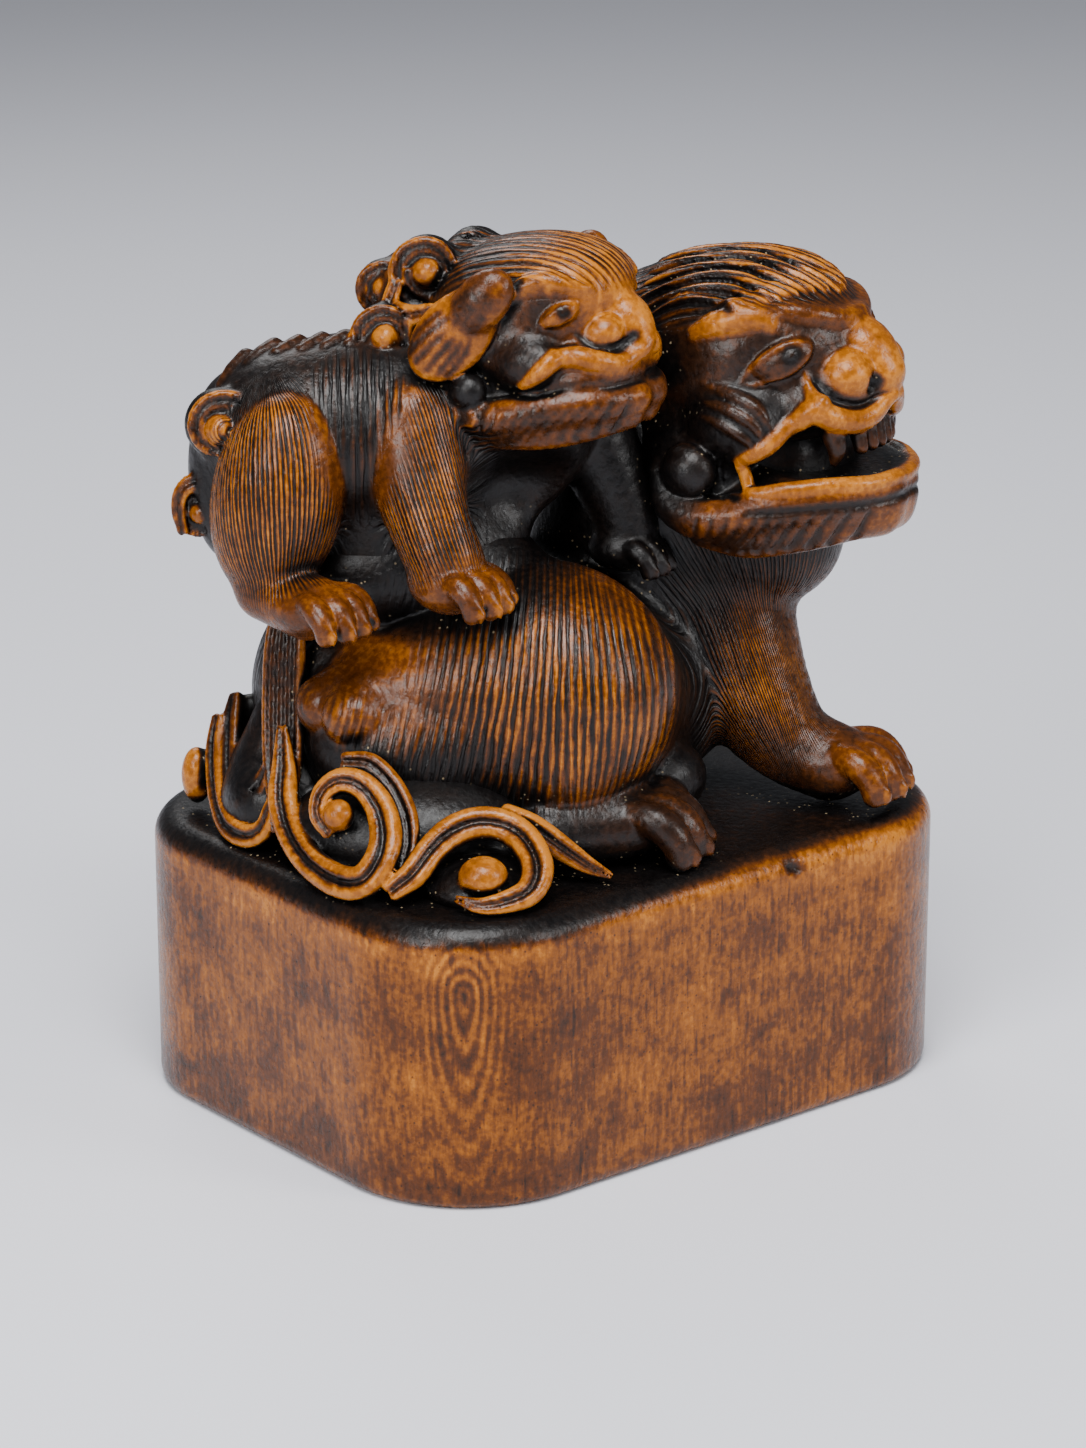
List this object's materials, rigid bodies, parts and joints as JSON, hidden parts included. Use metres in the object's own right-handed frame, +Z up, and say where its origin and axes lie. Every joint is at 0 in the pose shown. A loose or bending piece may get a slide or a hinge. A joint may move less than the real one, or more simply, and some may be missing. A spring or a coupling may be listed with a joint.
{
  "type": "netsuke",
  "caption": "Boxwood netsuke: a lion-dog crouching on a rounded rectangular block with its cub on its back, standing on the block's flat underside.",
  "frame": {"origin": "middle of the block's flat underside", "axes": "+Z up, +X along the block's long side towards the lion-dog's chest, -Y out of the long side that its face is turned to"},
  "size_m": [0.034, 0.0274, 0.0424],
  "materials": {
    "stained_boxwood": "stained and hand polished boxwood, worn to honey brown on what stands out and nearly black in the hollows"
  },
  "bodies": {
    "root": {"netsuke": "stained_boxwood"}
  },
  "joints": []
}
